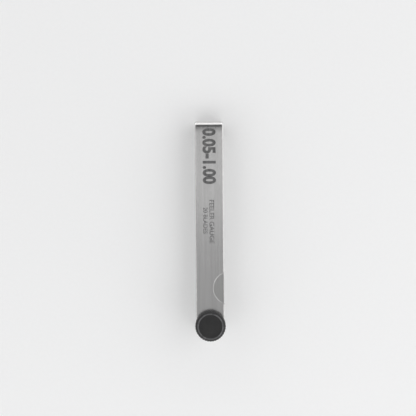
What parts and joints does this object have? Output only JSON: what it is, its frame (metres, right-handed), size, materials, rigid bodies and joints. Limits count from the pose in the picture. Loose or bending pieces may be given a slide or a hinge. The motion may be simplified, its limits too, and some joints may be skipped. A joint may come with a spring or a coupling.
{
  "type": "feeler gauge",
  "caption": "Folding feeler gauge: round-ended steel blades fan out from a pivot in a folded steel strip case with a thumb notch, clamped by a ribbed round knob.",
  "frame": {"origin": "middle of the bounding box's base, on the plane of the back cheek's outer face", "axes": "+Z out of the back cheek towards the knob, along the pivot axis; +Y from the pivot towards the case's folded end; +X towards the edge with the thumb notch"},
  "size_m": [0.0142, 0.1036, 0.0192],
  "materials": {
    "case_steel": "satin, brushed along its length",
    "blade_steel": "ground and lightly oiled spring steel",
    "zinc_steel": "bright zinc plate",
    "knob_plastic": "fine moulded texture"
  },
  "bodies": {
    "case": {"case_strip": "case_steel", "pivot_post": "zinc_steel"},
    "captive_washers": {"spring_washer": "zinc_steel", "flat_washer": "zinc_steel"},
    "lock_knob": {"knob": "knob_plastic", "clamp_screw": "zinc_steel"},
    "blade_1_00": {"blade_1_00": "blade_steel"},
    "blade_0_95": {"blade_0_95": "blade_steel"},
    "blade_0_90": {"blade_0_90": "blade_steel"},
    "blade_0_85": {"blade_0_85": "blade_steel"},
    "blade_0_80": {"blade_0_80": "blade_steel"},
    "blade_0_75": {"blade_0_75": "blade_steel"},
    "blade_0_70": {"blade_0_70": "blade_steel"},
    "blade_0_65": {"blade_0_65": "blade_steel"},
    "blade_0_60": {"blade_0_60": "blade_steel"},
    "blade_0_55": {"blade_0_55": "blade_steel"},
    "blade_0_50": {"blade_0_50": "blade_steel"},
    "blade_0_45": {"blade_0_45": "blade_steel"},
    "blade_0_40": {"blade_0_40": "blade_steel"},
    "blade_0_35": {"blade_0_35": "blade_steel"},
    "blade_0_30": {"blade_0_30": "blade_steel"},
    "blade_0_25": {"blade_0_25": "blade_steel"},
    "blade_0_20": {"blade_0_20": "blade_steel"},
    "blade_0_15": {"blade_0_15": "blade_steel"},
    "blade_0_10": {"blade_0_10": "blade_steel"},
    "blade_0_05": {"blade_0_05": "blade_steel"}
  },
  "joints": [
    {"name": "screw_lift", "type": "slide", "parent": "case", "child": "captive_washers", "axis": [0, 0, 1], "range_m": [0, 0.0014]},
    {"name": "knob_turn", "type": "hinge", "parent": "captive_washers", "child": "lock_knob", "pos_m": [0, -0.0447, 0.01432], "axis": [0, 0, 1], "range_deg": [0, 720]},
    {"name": "blade_1_00_swing", "type": "hinge", "parent": "case", "child": "blade_1_00", "pos_m": [0, -0.0447, 0.0113], "axis": [0, 0, 1], "range_deg": [-180, 180]},
    {"name": "blade_0_95_swing", "type": "hinge", "parent": "case", "child": "blade_0_95", "pos_m": [0, -0.0447, 0.0103], "axis": [0, 0, 1], "range_deg": [-180, 180]},
    {"name": "blade_0_90_swing", "type": "hinge", "parent": "case", "child": "blade_0_90", "pos_m": [0, -0.0447, 0.00936], "axis": [0, 0, 1], "range_deg": [-180, 180]},
    {"name": "blade_0_85_swing", "type": "hinge", "parent": "case", "child": "blade_0_85", "pos_m": [0, -0.0447, 0.00847], "axis": [0, 0, 1], "range_deg": [-180, 180]},
    {"name": "blade_0_80_swing", "type": "hinge", "parent": "case", "child": "blade_0_80", "pos_m": [0, -0.0447, 0.00762], "axis": [0, 0, 1], "range_deg": [-180, 180]},
    {"name": "blade_0_75_swing", "type": "hinge", "parent": "case", "child": "blade_0_75", "pos_m": [0, -0.0447, 0.00683], "axis": [0, 0, 1], "range_deg": [-180, 180]},
    {"name": "blade_0_70_swing", "type": "hinge", "parent": "case", "child": "blade_0_70", "pos_m": [0, -0.0447, 0.00608], "axis": [0, 0, 1], "range_deg": [-180, 180]},
    {"name": "blade_0_65_swing", "type": "hinge", "parent": "case", "child": "blade_0_65", "pos_m": [0, -0.0447, 0.00539], "axis": [0, 0, 1], "range_deg": [-180, 180]},
    {"name": "blade_0_60_swing", "type": "hinge", "parent": "case", "child": "blade_0_60", "pos_m": [0, -0.0447, 0.00474], "axis": [0, 0, 1], "range_deg": [-180, 180]},
    {"name": "blade_0_55_swing", "type": "hinge", "parent": "case", "child": "blade_0_55", "pos_m": [0, -0.0447, 0.00415], "axis": [0, 0, 1], "range_deg": [-180, 180]},
    {"name": "blade_0_50_swing", "type": "hinge", "parent": "case", "child": "blade_0_50", "pos_m": [0, -0.0447, 0.0036], "axis": [0, 0, 1], "range_deg": [-180, 180]},
    {"name": "blade_0_45_swing", "type": "hinge", "parent": "case", "child": "blade_0_45", "pos_m": [0, -0.0447, 0.00311], "axis": [0, 0, 1], "range_deg": [-180, 180]},
    {"name": "blade_0_40_swing", "type": "hinge", "parent": "case", "child": "blade_0_40", "pos_m": [0, -0.0447, 0.00266], "axis": [0, 0, 1], "range_deg": [-180, 180]},
    {"name": "blade_0_35_swing", "type": "hinge", "parent": "case", "child": "blade_0_35", "pos_m": [0, -0.0447, 0.00227], "axis": [0, 0, 1], "range_deg": [-180, 180]},
    {"name": "blade_0_30_swing", "type": "hinge", "parent": "case", "child": "blade_0_30", "pos_m": [0, -0.0447, 0.00192], "axis": [0, 0, 1], "range_deg": [-180, 180]},
    {"name": "blade_0_25_swing", "type": "hinge", "parent": "case", "child": "blade_0_25", "pos_m": [0, -0.0447, 0.00162], "axis": [0, 0, 1], "range_deg": [-180, 180]},
    {"name": "blade_0_20_swing", "type": "hinge", "parent": "case", "child": "blade_0_20", "pos_m": [0, -0.0447, 0.00138], "axis": [0, 0, 1], "range_deg": [-180, 180]},
    {"name": "blade_0_15_swing", "type": "hinge", "parent": "case", "child": "blade_0_15", "pos_m": [0, -0.0447, 0.00119], "axis": [0, 0, 1], "range_deg": [-180, 180]},
    {"name": "blade_0_10_swing", "type": "hinge", "parent": "case", "child": "blade_0_10", "pos_m": [0, -0.0447, 0.00104], "axis": [0, 0, 1], "range_deg": [-180, 180]},
    {"name": "blade_0_05_swing", "type": "hinge", "parent": "case", "child": "blade_0_05", "pos_m": [0, -0.0447, 0.00094], "axis": [0, 0, 1], "range_deg": [-180, 180]}
  ],
  "couplings": [
    {"joint": "knob_turn", "follows": "screw_lift", "rad_per_m": 8975.9}
  ]
}
